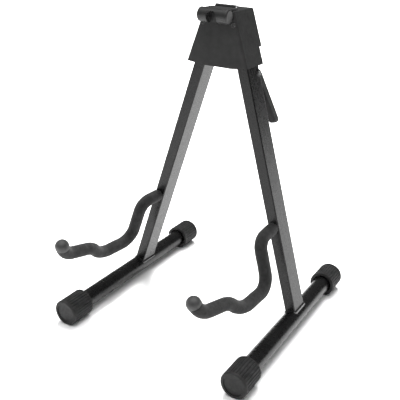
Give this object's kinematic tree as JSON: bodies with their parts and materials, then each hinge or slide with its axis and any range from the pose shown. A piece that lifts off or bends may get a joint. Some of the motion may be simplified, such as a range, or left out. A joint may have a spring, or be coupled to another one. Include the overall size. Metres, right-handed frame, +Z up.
{
  "type": "guitar stand",
  "caption": "Folding A-frame guitar stand: legs on floor tubes with rubber caps, foam cradle arms, and a hinged head with a back rest and a lock lever.",
  "frame": {"origin": "on the floor under the middle of the stand's whole box, side to side and front to back", "axes": "+X from the left leg to the right leg as seen from the guitar's side, -Y towards the guitar's side where the arms are, +Z up"},
  "size_m": [0.296, 0.3306, 0.418],
  "materials": {
    "frame_enamel": "glossy black enamel on steel tube",
    "weld_enamel": "glossy black enamel over a rippled weld bead",
    "cap_rubber": "matte black fluted rubber",
    "rod_steel": "black painted round bar, under the foam",
    "arm_foam": "matte black closed-cell foam",
    "tip_rubber": "satin black rubber",
    "knuckle_nylon": "natural nylon",
    "head_plastic": "fine matte black moulding",
    "rest_rubber": "semi-gloss black rubber",
    "lever_plastic": "matte black moulding",
    "washer_nylon": "smooth nylon",
    "zinc_steel": "zinc plated",
    "black_screw": "black oxide",
    "pin_steel": "polished steel",
    "spring_steel": "drawn spring wire"
  },
  "bodies": {
    "left_leg": {"base_tube_left": "frame_enamel", "front_cap_left": "cap_rubber", "rear_cap_left": "cap_rubber", "leg_tube_left": "frame_enamel", "weld_left": "weld_enamel", "arm_rod_left": "rod_steel", "arm_foam_left": "arm_foam", "arm_tip_left": "tip_rubber", "knuckle_left": "knuckle_nylon", "knuckle_rivets_left": "zinc_steel"},
    "head": {"front_cover": "head_plastic", "rear_cover": "head_plastic", "cover_screws": "black_screw", "front_screws": "black_screw", "pivot_plate": "zinc_steel", "pivot_bolt_left": "zinc_steel", "pivot_bolt_right": "zinc_steel", "pivot_washers": "washer_nylon", "catch_plate": "zinc_steel", "rest_hinge_pin": "pin_steel"},
    "right_leg": {"base_tube_right": "frame_enamel", "front_cap_right": "cap_rubber", "rear_cap_right": "cap_rubber", "leg_tube_right": "frame_enamel", "weld_right": "weld_enamel", "arm_rod_right": "rod_steel", "arm_foam_right": "arm_foam", "arm_tip_right": "tip_rubber", "knuckle_right": "knuckle_nylon", "knuckle_rivets_right": "zinc_steel", "lever_pin": "pin_steel", "lever_spring": "spring_steel"},
    "lever": {"lever_body": "lever_plastic", "latch_tongue": "zinc_steel"},
    "rest": {"rest_frame": "head_plastic", "rest_pad": "rest_rubber"}
  },
  "joints": [
    {"name": "left_fold", "type": "hinge", "parent": "left_leg", "child": "head", "pos_m": [-0.01866, 0.03331, 0.38416], "axis": [0, 1, 0], "range_deg": [0, 16.9]},
    {"name": "right_fold", "type": "hinge", "parent": "head", "child": "right_leg", "pos_m": [0.01866, 0.03331, 0.38416], "axis": [0, 1, 0], "range_deg": [0, 16.9]},
    {"name": "lever_squeeze", "type": "hinge", "parent": "right_leg", "child": "lever", "pos_m": [0.03378, 0.04531, 0.33441], "axis": [-0.9568, 0, -0.2907], "range_deg": [0, 8], "stiffness_Nm_per_rad": 0.3, "springref_deg": -8.59},
    {"name": "rest_flip", "type": "hinge", "parent": "head", "child": "rest", "pos_m": [0, 0.02531, 0.415], "axis": [-1, 0, 0], "range_deg": [0, 180]}
  ],
  "couplings": [
    {"joint": "right_fold", "follows": "left_fold", "ratio": 1}
  ]
}
